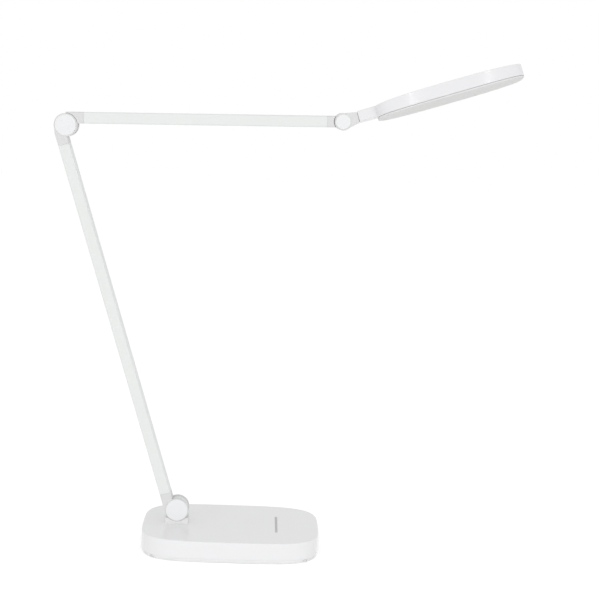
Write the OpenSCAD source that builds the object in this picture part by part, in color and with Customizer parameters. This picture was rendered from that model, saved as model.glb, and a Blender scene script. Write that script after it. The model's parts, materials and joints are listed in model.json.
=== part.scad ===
// Folding LED desk lamp, built at the pose of the photograph.
// Origin: centre of the base's footprint, on the table. +X runs to the lamp head,
// +Y to the back of the base and +Z up. All three arm hinges turn about the Y axis.

/* [Base] */
// Length of the base, left to right
base_w = 190; // [170:1:220]
// Depth of the base, front to back
base_d = 130; // [120:1:150]
// Height of the base's top face above the table
base_top = 22.5; // [21:0.5:28]
// Squareness of the base's outline, 2 is an ellipse
base_squareness = 4.1; // [3:0.1:6]
// Wall of the base cover
base_wall = 2.2; // [1.8:0.1:3]
// Height of the seam between the cover and the bottom plate
base_seam = 3.6; // [3:0.1:5]
// How far the bottom plate is set in from the cover
plate_inset = 1.6; // [1:0.1:3]
// Length of the touch slider on the base
slider_len = 53; // [40:1:60]
// Width of the touch slider
slider_w = 2.1; // [1.6:0.1:4]
// Distance of the touch slider from the middle of the base
slider_x = 49.3; // [45:0.1:60]
// Position of the power inlet along the back wall
inlet_x = 30; // [24:1:34]

/* [Arms] */
// Distance from the base hinge to the elbow
lower_len = 426.4; // [300:1:480]
// Distance from the elbow to the head hinge, along the arm
upper_len = 286.6; // [200:1:330]
// Height of both arm tubes in the plane they fold in
arm_w = 11.7; // [11:0.1:13]
// Thickness of both arm tubes, front to back
arm_t = 17; // [16:0.5:20]
// Wall of the arm tubes
tube_wall = 1.2; // [1:0.1:1.6]
// Distance of the arms' middle lines from the elbow's axis
arm_offset = 7.45; // [7:0.05:8]
// Lean of the lower arm to the left of upright, in degrees
lower_lean = 17.2; // [0:0.1:30]
// Rise of the upper arm above level, in degrees
upper_rise = 1.5; // [-10:0.1:20]

/* [Hinges] */
// Base hinge axis, left of the middle of the base
hinge_x = 58.6; // [45:0.1:62]
// Base hinge axis, above the table
hinge_z = 37.9; // [37:0.1:45]
// Radius of the base hinge's discs
base_disc_r = 12.4; // [12:0.1:13]
// Radius of the elbow's discs
elbow_disc_r = 12.1; // [11.5:0.1:12.5]
// Radius of the head hinge's discs
head_disc_r = 9; // [8.8:0.1:10]
// How far each hinge cap stands proud of its disc
cap_proud = 1.2; // [0.8:0.1:2]

/* [Head] */
// Rise of the head above level, in degrees
head_rise = 18.2; // [-20:0.1:40]
// Turn of the head about its neck, its light to the front, in degrees
head_turn = 9; // [0:0.5:20]
// Length of the head pad
pad_len = 157; // [140:1:180]
// Width of the head pad
pad_w = 61; // [54:1:70]
// Distance from the head hinge to the pad
pad_start = 35.8; // [35:0.1:45]
// Thickness of the head's shell in its middle
shell_h = 13.5; // [13:0.1:16]
// How far the shell's top drops at its ends
top_crown = 1.1; // [0.8:0.1:1.4]
// How far the shell's lower edge rises at its ends
low_crown = 0.4; // [0.2:0.1:1]
// Thickness of the diffuser below the shell
diffuser_h = 1.5; // [1.2:0.1:3.5]

/* [Hidden] */

$fn = 72;
eps = 0.01;
slack = 0.3;       // gap that parts of different bodies keep
fit = 0.15;        // gap between pieces assembled by hand
run_gap = 0.06;    // radial gap of a bore that runs on its pin
white = [0.93, 0.93, 0.94];
arm_white = [0.9, 0.92, 0.9];
cap_white = [0.97, 0.97, 0.96];
warm_grey = [0.8, 0.8, 0.79];
mid_grey = [0.62, 0.62, 0.63];
steel = [0.6, 0.61, 0.63];
dark = [0.12, 0.12, 0.13];
board_green = [0.1, 0.35, 0.2];
copper = [0.72, 0.45, 0.25];

// Base: heights and the parts that hang on them
top_wall = 2.4;
cover_under = base_top - top_wall;
pad_h = 1.2;
plate_bottom = 0.4;
plate_h = base_seam - plate_bottom;
pad_inset = 9;
screw_seat = pad_h + 1.2;
boss_x = base_w / 2 - 16;
boss_y = base_d / 2 - 14;
boss_r = 3.6;
weight_x0 = -base_w / 2 + 13;
weight_x1 = 12;
weight_y = 2 * (boss_y - boss_r - slack);
weight_h = 8.4;
weight_z = base_seam + weight_h;
weight_mid = (weight_x0 + weight_x1) / 2;
weight_hole_x = (weight_x1 - weight_x0) / 2 - 7;
weight_hole_y = weight_y / 2 - 8;
self_tap_r = 1.2;
cover_screw_len = 8;
weight_screw_len = 6;
bracket_screw_len = 8;
board_h = 1.6;
board_x0 = 19;
board_x1 = 78;
board_y0 = -38;
board_y1 = 47;
board_z = 6.2;
driver_at = [board_x0 + 22, board_y0 + 43];
driver_size = [12, 12, 1.8];
coil_at = [board_x0 + 12, board_y0 + 18];
coil_size = [12, 12, 5];
store_at = [board_x1 - 14, board_y0 + 24];
store_r = 4;
store_h = 9;
spacer_r = 2.6;
inlet_z = board_z + board_h + 5.2;
inlet_face = base_d / 2 - 2.6;
inlet_depth = 14;
inlet_w = 9.4;
inlet_socket_r = 2.8;
inlet_socket_depth = 9.5;
inlet_pin_r = 1.05;
inlet_pin_len = 9;
inlet_hole_r = 5.2;
touch_board_w = 12;
lead_r = 0.9;
lead_gap = 1.1;
lead_board_x = board_x0 + 6;
lead_board_y = board_y1 - 22;

// Bracket that carries the base hinge
flange_x = 46;
flange_y = 36;
flange_h = 3;
post_x = 2 * base_disc_r;
post_y = arm_t;
shoulder_drop = 9;   // how far its shoulders stay below the hinge axis
lead_slack = 15;     // run of the lead before it turns down to the board
bracket_hole_x = 17;
bracket_hole_y = 12.5;
lead_run_z = weight_z + flange_h + lead_r + 2 * slack;
lead_port_z = lead_run_z + 2;
lead_port_r = 2.6;
lead_bend = [-hinge_x + flange_x / 2 + lead_slack, 3, lead_run_z];

// Hinge stack, measured out from the middle plane
half_t = arm_t / 2;
knuckle_half = 3.9;
washer_in = knuckle_half + fit;
washer_h = 0.7;
cheek_in = washer_in + washer_h + fit;
recess_h = 2.2;
big_pin_r = 3;
small_pin_r = 2.5;
knuckle_gap = 0.5;
taper_in = 0.36;     // the neck fork's taper starts this far inside its disc's side
shoulder_gap = 0.4;
head_shoulder_gap = 0.8;
base_cap_r = 11.8;
elbow_cap_r = 10.9;
head_cap_r = 7.7;

// Arms
tube_round = 1.5;
bore_w = arm_w - 2 * tube_wall;
bore_t = arm_t - 2 * tube_wall;
foot_len = 20.8;
elbow_fork_len = 18.9;
knuckle_len = 18.6;
head_knuckle_len = 16.3;
plug_len = 14;
set_screw_at = 7;
set_screw_r = 1.25;
plug_hole_w = bore_w - 5;
plug_hole_t = bore_t - 6;
lead_side = plug_hole_w / 2 - lead_r - slack;
elbow_x = -hinge_x - lower_len * sin(lower_lean);
elbow_z = hinge_z + lower_len * cos(lower_lean);
head_x = elbow_x + upper_len * cos(upper_rise) - arm_offset * sin(upper_rise);
head_z = elbow_z + upper_len * sin(upper_rise) + arm_offset * cos(upper_rise);

// Neck and head, along the neck from the head hinge
neck_w = 11.2;
neck_t = 16;
fork_end = 16.1;
sleeve_start = fork_end + 0.4;
sleeve_pin_r = 3.7;
sleeve_pin_bore = 2.1;
chamber_start = 29;
chamber_r = 4.9;
clip_at = 29.5;
clip_h = 0.9;
clip_r = 4.5;
clip_groove_r = 3;
pin_end = 32;
pad_mid = pad_start + pad_len / 2;
pad_round = 3.2;
pad_wall = 2;
shell_top = shell_h / 2 - 0.15;
shell_low = shell_top - shell_h;
crown_steps = 24;
seam_gap = 0.4;
rim_h = 2.2;
neck_flare_w = 11.8;
heat_inset = 15.5;
heat_len = pad_len - 2 * heat_inset;
heat_w = 40;
heat_h = 1.5;
heat_top = 3.2;
board_over = 2;
led_len = heat_len + 2 * board_over;
led_h = 1.2;
led_top = heat_top - heat_h - 2 * fit;
reflector_top = led_top - led_h - fit;
head_lead_z = reflector_top + slack + lead_r;
chip = [3, 2.8, 0.8];
chip_cols = 12;
chip_pitch = 9.6;
chip_row_y = 9;
head_boss_x = 52;
head_boss_y = 14;
head_boss_r = 2.6;

// Outlines
function spow(v, p) = sign(v) * pow(abs(v), p);
function squircle(a, b, n, steps = 96) =
    [for (i = [0:steps - 1]) let (t = 360 * i / steps)
        [a * spow(cos(t), 2 / n), b * spow(sin(t), 2 / n)]];

module base_outline(inset)
    polygon(squircle(base_w / 2 - inset, base_d / 2 - inset, base_squareness));

module round_rect(w, t, r) {
    square([w - 2 * r, t], center = true);
    square([w, t - 2 * r], center = true);
    for (x = [-1, 1], y = [-1, 1])
        translate([x * (w / 2 - r), y * (t / 2 - r)])
            circle(r);
}

// A cylinder along Y between two depths
module ycyl(r, y0, y1)
    translate([0, y1, 0])
        rotate([90, 0, 0])
            cylinder(r = r, h = y1 - y0);

// A flat shape drawn in the X-Z plane, thick along Y about the middle plane
module yslab(y0, y1)
    translate([0, y1, 0])
        rotate([90, 0, 0])
            linear_extrude(height = y1 - y0)
                children();

module post(r, z0, z1)
    translate([0, 0, z0])
        cylinder(r = r, h = z1 - z0);

// A pan-head screw: the head's underside at z = 0, the thread down
module screw(r, len, head_r, head_h) {
    translate([0, 0, -len])
        cylinder(r = r, h = len);
    difference() {
        cylinder(r = head_r, h = head_h);
        translate([0, 0, head_h / 2])
            cylinder(r = r * 0.7, h = head_h, $fn = 6);
    }
}

// One insulated wire through a list of points
module wire(points) {
    for (i = [0:len(points) - 2])
        let (a = points[i], d = points[i + 1] - a, run = norm(d))
            translate(a)
                rotate([0, acos(d[2] / run), atan2(d[1], d[0])])
                    cylinder(r = lead_r, h = run);
    for (i = [1:len(points) - 2])
        translate(points[i])
            sphere(r = lead_r + 0.06);
}

module wire_pair(points)
    for (y = [-lead_gap, lead_gap])
        translate([0, y, 0])
            wire(points);

// Frames of the moving parts: link frames run along +Z from their hinge
module at_base_hinge() translate([-hinge_x, 0, hinge_z]) children();
module at_elbow() translate([elbow_x, 0, elbow_z]) children();
module at_head_hinge() translate([head_x, 0, head_z]) children();
module lower_link() at_base_hinge() rotate([0, -lower_lean, 0]) children();
module lower_link_top() at_elbow() rotate([0, 180 - lower_lean, 0]) children();
module upper_link() at_elbow() rotate([0, 90 - upper_rise, 0]) children();
module upper_link_end() at_head_hinge() rotate([0, -90 - upper_rise, 0]) children();
module neck_link() at_head_hinge() rotate([0, 90 - head_rise, 0]) children();
// Pad frame: X along the pad, Y across it, Z up from the light
module pad_frame() at_head_hinge() rotate([0, -head_rise, 0]) rotate([-head_turn, 0, 0]) children();

// ---- Shared hinge pieces ----

function recess_r(pin_r) = pin_r * 2.2;

// Disc of a hinge with the end of its link: off is the link's sideways offset
module link_outline(disc_r, w, off, len) {
    side = off < 0 ? -1 : 1;
    circle(disc_r);
    if (off == 0)
        translate([-w / 2, 0])
            square([w, len]);
    else
        polygon([[off + side * w / 2, len], [off - side * w / 2, len], [off - side * w / 2, 0],
            [side * disc_r, 0], [off + side * w / 2, disc_r / 2]]);
}

// Disc of a hinge that narrows to the end of its link
module drop_outline(disc_r, w, len) {
    foot = disc_r - taper_in;
    circle(disc_r);
    polygon([[-w / 2, len], [w / 2, len], [foot, 0], [-foot, 0]]);
}

// The plug that enters an arm tube, past the visible end of a fitting
module tube_plug(off, len)
    translate([off, 0, len])
        difference() {
            linear_extrude(height = plug_len)
                round_rect(bore_w - 2 * fit, bore_t - 2 * fit, 1);
            translate([0, 0, -eps])
                linear_extrude(height = plug_len + 1)
                    round_rect(plug_hole_w, plug_hole_t, 0.8);
            translate([0, 0, set_screw_at])
                ycyl(set_screw_r + run_gap, 0, arm_t);
        }

// The front and rear recesses that hold the head and nut of a hinge screw
module hinge_recesses(r)
    for (s = [0, 180])
        rotate([0, 0, s])
            ycyl(r, half_t - recess_h, half_t + 1);

// Fork: two cheeks on either side of the other link's knuckle
module fork(disc_r, pin_r, off, w, len, gap) {
    difference() {
        union() {
            yslab(-half_t, half_t)
                if (off == 0)
                    drop_outline(disc_r, w, len);
                else
                    link_outline(disc_r, w, off, disc_r * 0.8);
            translate([off, 0, disc_r * 0.8 - eps])
                linear_extrude(height = len - disc_r * 0.8 + eps)
                    round_rect(w, arm_t, tube_round);
        }
        ycyl(disc_r + gap, -cheek_in, cheek_in);
        ycyl(pin_r + run_gap, -arm_t, arm_t);
        hinge_recesses(recess_r(pin_r));
        translate([off, 0, disc_r])
            linear_extrude(height = len)
                round_rect(plug_hole_w, plug_hole_t, 0.8);
    }
}

// Knuckle: the tongue that turns between a fork's cheeks
module knuckle(disc_r, pin_r, off, w, len, gap) {
    difference() {
        union() {
            yslab(-knuckle_half, knuckle_half)
                link_outline(disc_r - knuckle_gap, w, off, len);
            translate([off, 0, 0])
                linear_extrude(height = len)
                    round_rect(w, arm_t, tube_round);
        }
        for (s = [0, 180])
            rotate([0, 0, s])
                ycyl(disc_r + gap, knuckle_half, arm_t);
        ycyl(pin_r + run_gap, -arm_t, arm_t);
        translate([off, 0, disc_r])
            linear_extrude(height = len)
                round_rect(plug_hole_w, 2 * knuckle_half - 3, 0.8);
    }
}

module hinge_cap(r, pin_r) {
    ring_r = recess_r(pin_r) - fit;
    difference() {
        union() {
            ycyl(r - 0.5, half_t + cap_proud - 0.5, half_t + cap_proud);
            ycyl(r, half_t, half_t + cap_proud - 0.5);
            ycyl(ring_r, half_t - 1, half_t + eps);
        }
        ycyl(ring_r - 0.8, half_t - 2, half_t + 0.2);
    }
}

module hinge_screw(pin_r) {
    head_y = half_t - recess_h;
    ycyl(pin_r, -head_y - eps, half_t - 0.3);
    difference() {
        ycyl(pin_r * 1.6, -half_t + 0.4, -head_y);
        translate([0, -half_t + 1.6, 0])
            rotate([90, 0, 0])
                cylinder(r = pin_r * 0.75, h = 3, $fn = 6);
    }
}

module hinge_nut(pin_r)
    difference() {
        translate([0, half_t - 0.4, 0])
            rotate([90, 0, 0])
                cylinder(r = pin_r * 1.6, h = recess_h - 0.4, $fn = 6);
        ycyl(pin_r + run_gap, 0, arm_t);
    }

module hinge_washers(pin_r, r)
    for (s = [0, 180])
        rotate([0, 0, s])
            difference() {
                ycyl(r, washer_in, washer_in + washer_h);
                ycyl(pin_r + run_gap, 0, arm_t);
            }

// ---- Base ----

module base_cover() {
    color(white)
        difference() {
            translate([0, 0, base_seam])
                linear_extrude(height = base_top - base_seam)
                    base_outline(0);
            difference() {
                translate([0, 0, base_seam - 1])
                    linear_extrude(height = cover_under - base_seam + 1)
                        base_outline(base_wall);
                for (x = [-1, 1], y = [-1, 1])
                    translate([x * boss_x, y * boss_y, 0])
                        post(boss_r, base_seam, base_top);
            }
            for (x = [-1, 1], y = [-1, 1])
                translate([x * boss_x, y * boss_y, 0])
                    post(self_tap_r, base_seam - 1, base_seam + 9);
            translate([-hinge_x - post_x / 2 - fit, -post_y / 2 - fit, cover_under - 1])
                cube([post_x + 2 * fit, post_y + 2 * fit, top_wall + 2]);
            translate([slider_x, 0, cover_under - 1])
                linear_extrude(height = top_wall + 2)
                    round_rect(slider_w + 2 * 0.1, slider_len + 2 * 0.1, slider_w / 2);
            translate([inlet_x, 0, inlet_z])
                ycyl(inlet_hole_r, inlet_face - 2, base_d);
            translate([inlet_x - inlet_w / 2 - slack, inlet_face - 3, inlet_z - 6])
                cube([inlet_w + 2 * slack, 3.1, 12]);
        }
}

module bottom_plate() {
    color(white)
        difference() {
            union() {
                translate([0, 0, plate_bottom])
                    linear_extrude(height = plate_h)
                        base_outline(plate_inset);
                for (x = [board_x0 + 6, board_x1 - 6], y = [board_y0 + 6, board_y1 - 8])
                    translate([x, y, 0])
                        post(spacer_r, plate_bottom, board_z);
            }
            translate([0, 0, -1])
                linear_extrude(height = pad_h + 1)
                    base_outline(pad_inset - fit);
            for (x = [-1, 1], y = [-1, 1])
                translate([x * boss_x, y * boss_y, 0]) {
                    post(self_tap_r + 0.3, 0, base_seam + 1);
                    post(3, 0, screw_seat);
                }
            for (x = [-1, 1], y = [-1, 1])
                translate([weight_mid + x * weight_hole_x, y * weight_hole_y, 0]) {
                    post(2.2, 0, base_seam + 1);
                    post(4, 0, screw_seat);
                }
        }
}

module rubber_pad() {
    color(dark)
        linear_extrude(height = pad_h)
            base_outline(pad_inset);
}

module counterweight() {
    color(steel)
        difference() {
            translate([weight_x0, -weight_y / 2, base_seam])
                cube([weight_x1 - weight_x0, weight_y, weight_h]);
            for (x = [-1, 1], y = [-1, 1]) {
                translate([weight_mid + x * weight_hole_x, y * weight_hole_y, 0])
                    post(2.05, 0, base_seam + 6);
                translate([-hinge_x + x * bracket_hole_x, y * bracket_hole_y, 0])
                    post(2.05, weight_z - 6, weight_z + 1);
            }
        }
}

module weight_screws() {
    color(steel)
        for (x = [-1, 1], y = [-1, 1])
            translate([weight_mid + x * weight_hole_x, y * weight_hole_y,
                screw_seat])
                rotate([180, 0, 0])
                    screw(2, weight_screw_len, 3.6, 1);
}

module cover_screws() {
    color(steel)
        for (x = [-1, 1], y = [-1, 1])
            translate([x * boss_x, y * boss_y, screw_seat])
                rotate([180, 0, 0])
                    screw(self_tap_r - 0.05, cover_screw_len, 2.6, 1);
}

module control_board() {
    color(board_green)
        translate([board_x0, board_y0, board_z])
            cube([board_x1 - board_x0, board_y1 - board_y0, board_h]);
    color(dark) {
        translate([driver_at[0], driver_at[1], board_z + board_h])
            cube(driver_size);
        translate([coil_at[0], coil_at[1], board_z + board_h])
            cube(coil_size);
    }
    color(steel)
        translate([store_at[0], store_at[1], board_z + board_h])
            cylinder(r = store_r, h = store_h);
}

module touch_board() {
    color(board_green)
        translate([slider_x - touch_board_w / 2, -slider_len / 2 - 4, cover_under - board_h])
            cube([touch_board_w, slider_len + 8, board_h]);
}

module touch_slider() {
    color(mid_grey)
        translate([slider_x, 0, cover_under])
            linear_extrude(height = top_wall + 0.05)
                round_rect(slider_w, slider_len, slider_w / 2 - 0.01);
}

module power_inlet() {
    color(dark)
        difference() {
            translate([inlet_x - inlet_w / 2, inlet_face - inlet_depth, board_z + board_h])
                cube([inlet_w, inlet_depth, 10.2]);
            translate([inlet_x, 0, inlet_z])
                ycyl(inlet_socket_r, inlet_face - inlet_socket_depth, inlet_face + 1);
        }
    color(steel)
        translate([inlet_x, 0, inlet_z])
            ycyl(inlet_pin_r, inlet_face - inlet_socket_depth - eps,
                inlet_face - inlet_socket_depth + inlet_pin_len);
}

module base_lead() {
    color(copper)
        wire_pair([[lead_board_x, lead_board_y, board_z + board_h + 0.3],
            [lead_board_x, lead_board_y, lead_run_z], lead_bend,
            [-hinge_x + post_x / 2 - 1, 0, lead_port_z]]);
}

module hinge_bracket() {
    color(warm_grey)
        difference() {
            union() {
                translate([-hinge_x - flange_x / 2, -flange_y / 2, weight_z])
                    cube([flange_x, flange_y, flange_h]);
                translate([-hinge_x - post_x / 2, -post_y / 2, weight_z])
                    cube([post_x, post_y, hinge_z - shoulder_drop - weight_z]);
                at_base_hinge()
                    ycyl(base_disc_r - knuckle_gap, -knuckle_half, knuckle_half);
            }
            at_base_hinge() {
                ycyl(big_pin_r + run_gap, -arm_t, arm_t);
                for (s = [0, 180])
                    rotate([0, 0, s])
                        ycyl(base_disc_r + slack, knuckle_half, arm_t);
            }
            for (x = [-1, 1], y = [-1, 1])
                translate([-hinge_x + x * bracket_hole_x, y * bracket_hole_y, 0])
                    post(2.2, weight_z - 1, weight_z + flange_h + 1);
            translate([-hinge_x + post_x / 2 - 7, 0, lead_port_z])
                rotate([0, 90, 0])
                    cylinder(r = lead_port_r, h = 8);
        }
}

module bracket_screws() {
    color(steel)
        for (x = [-1, 1], y = [-1, 1])
            translate([-hinge_x + x * bracket_hole_x, y * bracket_hole_y, weight_z + flange_h])
                screw(2, bracket_screw_len, 3.5, 2.2);
}

// ---- Arm tubes, their end fittings and leads ----

module arm_tube(z0, z1, off, holes)
    translate([off, 0, 0])
        difference() {
            translate([0, 0, z0])
                linear_extrude(height = z1 - z0)
                    difference() {
                        round_rect(arm_w, arm_t, tube_round);
                        round_rect(bore_w, bore_t, 0.6);
                    }
            for (z = holes)
                translate([0, 0, z])
                    ycyl(set_screw_r + run_gap, 0, arm_t);
        }

module set_screw_at_height(off, z)
    translate([off, half_t, z])
        rotate([-90, 0, 0])
            screw(set_screw_r, 4, 2.2, 0.6);

module lower_arm_tube() {
    color(arm_white)
        lower_link()
            arm_tube(foot_len + 0.1, lower_len - elbow_fork_len - 0.1, -arm_offset,
                [foot_len + set_screw_at, lower_len - elbow_fork_len - set_screw_at]);
}

module base_fork() {
    color(warm_grey)
        lower_link() {
            fork(base_disc_r, big_pin_r, -arm_offset, arm_w, foot_len, fit);
            tube_plug(-arm_offset, foot_len);
        }
}

module elbow_fork() {
    color(warm_grey)
        lower_link_top() {
            fork(elbow_disc_r, big_pin_r, arm_offset, arm_w, elbow_fork_len, fit);
            tube_plug(arm_offset, elbow_fork_len);
        }
}

module base_hinge_front_cap() {
    color(cap_white)
        lower_link()
            rotate([0, 0, 180])
                hinge_cap(base_cap_r, big_pin_r);
}

module base_hinge_rear_cap() {
    color(cap_white)
        lower_link()
            hinge_cap(base_cap_r, big_pin_r);
}

module base_hinge_screw() {
    color(steel)
        lower_link()
            hinge_screw(big_pin_r);
}

module base_hinge_nut() {
    color(steel)
        lower_link()
            hinge_nut(big_pin_r);
}

module base_hinge_washers() {
    color(steel)
        lower_link()
            hinge_washers(big_pin_r, base_disc_r - 2);
}

module elbow_front_cap() {
    color(cap_white)
        lower_link_top()
            rotate([0, 0, 180])
                hinge_cap(elbow_cap_r, big_pin_r);
}

module elbow_rear_cap() {
    color(cap_white)
        lower_link_top()
            hinge_cap(elbow_cap_r, big_pin_r);
}

module elbow_screw() {
    color(steel)
        lower_link_top()
            hinge_screw(big_pin_r);
}

module elbow_nut() {
    color(steel)
        lower_link_top()
            hinge_nut(big_pin_r);
}

module elbow_washers() {
    color(steel)
        lower_link_top()
            hinge_washers(big_pin_r, elbow_disc_r - 2);
}

module lower_arm_screws() {
    color(steel) {
        lower_link()
            set_screw_at_height(-arm_offset, foot_len + set_screw_at);
        lower_link_top()
            set_screw_at_height(arm_offset, elbow_fork_len + set_screw_at);
    }
}

module lower_arm_lead() {
    color(copper)
        lower_link()
            wire_pair([[lead_side - arm_offset, 0, foot_len - 6],
                [lead_side - arm_offset, 0, lower_len - elbow_fork_len + 5]]);
}

module upper_arm_tube() {
    color(arm_white)
        upper_link()
            arm_tube(knuckle_len + 0.1, upper_len - head_knuckle_len - 0.1, -arm_offset,
                [knuckle_len + set_screw_at, upper_len - head_knuckle_len - set_screw_at]);
}

module elbow_knuckle() {
    color(warm_grey)
        upper_link() {
            knuckle(elbow_disc_r, big_pin_r, -arm_offset, arm_w, knuckle_len, shoulder_gap);
            tube_plug(-arm_offset, knuckle_len);
        }
}

module head_knuckle() {
    color(warm_grey)
        upper_link_end() {
            knuckle(head_disc_r, small_pin_r, 0, arm_w, head_knuckle_len, head_shoulder_gap);
            tube_plug(0, head_knuckle_len);
        }
}

module upper_arm_screws() {
    color(steel) {
        upper_link()
            set_screw_at_height(-arm_offset, knuckle_len + set_screw_at);
        upper_link_end()
            set_screw_at_height(0, head_knuckle_len + set_screw_at);
    }
}

module upper_arm_lead() {
    color(copper)
        upper_link()
            wire_pair([[lead_side - arm_offset, 0, knuckle_len - 4],
                [lead_side - arm_offset, 0, upper_len - head_knuckle_len + 4]]);
}

// ---- Neck ----

module neck_fork() {
    color(warm_grey)
        neck_link()
            difference() {
                union() {
                    fork(head_disc_r, small_pin_r, 0, neck_w, fork_end, head_shoulder_gap);
                    post(sleeve_pin_r, head_disc_r + 2, pin_end);
                }
                post(sleeve_pin_bore, head_disc_r, pin_end + 1);
                difference() {
                    post(sleeve_pin_r + 1, clip_at, clip_at + clip_h);
                    post(clip_groove_r, clip_at - 1, clip_at + clip_h + 1);
                }
            }
}

module head_hinge_front_cap() {
    color(cap_white)
        neck_link()
            rotate([0, 0, 180])
                hinge_cap(head_cap_r, small_pin_r);
}

module head_hinge_rear_cap() {
    color(cap_white)
        neck_link()
            hinge_cap(head_cap_r, small_pin_r);
}

module head_hinge_screw() {
    color(steel)
        neck_link()
            hinge_screw(small_pin_r);
}

module head_hinge_nut() {
    color(steel)
        neck_link()
            hinge_nut(small_pin_r);
}

module head_hinge_washers() {
    color(steel)
        neck_link()
            hinge_washers(small_pin_r, head_disc_r - 2);
}

module swivel_clip() {
    color(steel)
        neck_link()
            difference() {
                post(clip_r, clip_at + 0.1, clip_at + clip_h - 0.1);
                post(clip_groove_r + 0.1, clip_at, clip_at + clip_h);
                translate([-1.6, 0, clip_at])
                    cube([3.2, clip_r + 1, clip_h]);
            }
}

// ---- Head ----

// How far a crowned line lies from its middle height, x along from the middle of the pad
function crown(rise, x) = rise * pow(2 * x / pad_len, 2);
crown_xs = [for (i = [0:crown_steps]) (i / crown_steps - 0.5) * (pad_len + 2)];

// Slice across the pad between its crowned top and sagging lower edge, moved in by two amounts
module crowned(top_in, low_in)
    translate([pad_mid, 0, 0])
        yslab(-pad_w, pad_w)
            polygon(concat(
                [for (x = crown_xs) [x, shell_top - top_in - crown(top_crown, x)]],
                [for (i = [crown_steps:-1:0]) let (x = crown_xs[i])
                    [x, shell_low + low_in + crown(low_crown, x)]]));

// Layer that follows the shell's sagging lower edge, between two heights from it
module edge_layer(low, high)
    translate([pad_mid, 0, shell_low])
        yslab(-pad_w, pad_w)
            polygon(concat(
                [for (x = crown_xs) [x, high + crown(low_crown, x)]],
                [for (i = [crown_steps:-1:0]) let (x = crown_xs[i]) [x, low + crown(low_crown, x)]]));

module pad_prism(inset)
    translate([pad_mid, 0, -shell_h])
        linear_extrude(height = 2 * shell_h)
            polygon(squircle(pad_len / 2 - inset, pad_w / 2 - inset, pad_round));

module head_shell() {
    color(white)
        pad_frame()
            difference() {
                union() {
                    intersection() {
                        crowned(0, 0);
                        pad_prism(0);
                    }
                    yslab(-neck_t / 2, neck_t / 2)
                        polygon([[sleeve_start, -neck_w / 2], [sleeve_start, neck_w / 2],
                            [pad_start + 6, neck_flare_w / 2], [pad_start + 6, -neck_flare_w / 2]]);
                }
                difference() {
                    intersection() {
                        crowned(pad_wall, -5);
                        pad_prism(pad_wall);
                    }
                    for (x = [-1, 1], y = [-1, 1])
                        translate([pad_mid + x * head_boss_x, y * head_boss_y, 0])
                            post(head_boss_r, heat_top, shell_top);
                }
                for (x = [-1, 1], y = [-1, 1])
                    translate([pad_mid + x * head_boss_x, y * head_boss_y, 0])
                        post(1, 0, heat_top + 1.9);
                rotate([0, 90, 0]) {
                    post(sleeve_pin_r + run_gap, sleeve_start - 1, pad_start);
                    post(chamber_r, chamber_start, pad_start + 8);
                }
            }
}

module heat_plate() {
    color(steel)
        pad_frame()
            difference() {
                translate([pad_mid, 0, heat_top - heat_h - fit])
                    linear_extrude(height = heat_h)
                        round_rect(heat_len, heat_w, 6);
                for (x = [-1, 1], y = [-1, 1])
                    translate([pad_mid + x * head_boss_x, y * head_boss_y, 0])
                        post(1.3, -2, heat_top + 1);
            }
}

module led_board() {
    color(white)
        pad_frame()
            difference() {
                translate([pad_mid, 0, led_top - led_h])
                    linear_extrude(height = led_h)
                        round_rect(led_len, heat_w - 4, 5);
                for (x = [-1, 1], y = [-1, 1])
                    translate([pad_mid + x * head_boss_x, y * head_boss_y, 0])
                        post(1.3, -3, heat_top + 1);
            }
}

module led_chips() {
    color([0.95, 0.85, 0.4])
        pad_frame()
            for (i = [0:chip_cols - 1], y = [-1, 1])
                translate([pad_mid + (i - (chip_cols - 1) / 2) * chip_pitch - chip[0] / 2,
                    y * chip_row_y - chip[1] / 2, led_top - led_h - chip[2] - 0.05])
                    cube(chip);
}

module reflector_frame() {
    color(white)
        pad_frame()
            difference() {
                intersection() {
                    pad_prism(pad_wall + 1.6);
                    translate([0, -pad_w, shell_low + 0.6])
                        cube([pad_mid * 2, 2 * pad_w, reflector_top - shell_low - 0.6]);
                    crowned(pad_wall, 0.6);
                }
                pad_prism(pad_wall + 7);
            }
}

module diffuser() {
    color([0.9, 0.9, 0.89])
        pad_frame() {
            intersection() {
                edge_layer(-seam_gap - diffuser_h, -seam_gap);
                pad_prism(0.4);
            }
            difference() {
                intersection() {
                    edge_layer(-seam_gap - 0.1, rim_h);
                    pad_prism(pad_wall + fit);
                }
                pad_prism(pad_wall + fit + 1.1);
            }
        }
}

module head_screws() {
    color(steel)
        pad_frame()
            for (x = [-1, 1], y = [-1, 1])
                translate([pad_mid + x * head_boss_x, y * head_boss_y, led_top - led_h])
                    rotate([180, 0, 0])
                        screw(0.95, 4.5, 1.8, 0.8);
}

module head_lead() {
    color(copper)
        pad_frame()
            wire_pair([[pin_end + 1.2, 0, head_lead_z],
                [pad_mid - led_len / 2 - slack, 0, head_lead_z]]);
}

base_cover();
bottom_plate();
rubber_pad();
counterweight();
weight_screws();
cover_screws();
control_board();
touch_board();
touch_slider();
power_inlet();
base_lead();
hinge_bracket();
bracket_screws();
lower_arm_tube();
base_fork();
elbow_fork();
base_hinge_front_cap();
base_hinge_rear_cap();
base_hinge_screw();
base_hinge_nut();
base_hinge_washers();
elbow_front_cap();
elbow_rear_cap();
elbow_screw();
elbow_nut();
elbow_washers();
lower_arm_screws();
lower_arm_lead();
upper_arm_tube();
elbow_knuckle();
head_knuckle();
upper_arm_screws();
upper_arm_lead();
neck_fork();
head_hinge_front_cap();
head_hinge_rear_cap();
head_hinge_screw();
head_hinge_nut();
head_hinge_washers();
swivel_clip();
head_shell();
heat_plate();
led_board();
led_chips();
reflector_frame();
diffuser();
head_screws();
head_lead();
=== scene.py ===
"""Folding LED desk lamp: finishes, softened mouldings and the studio.

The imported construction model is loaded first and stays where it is. Each operator
remakes one moulding with its rounded edges, or gives a group of parts its finish.
"""
import json
import math

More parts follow.
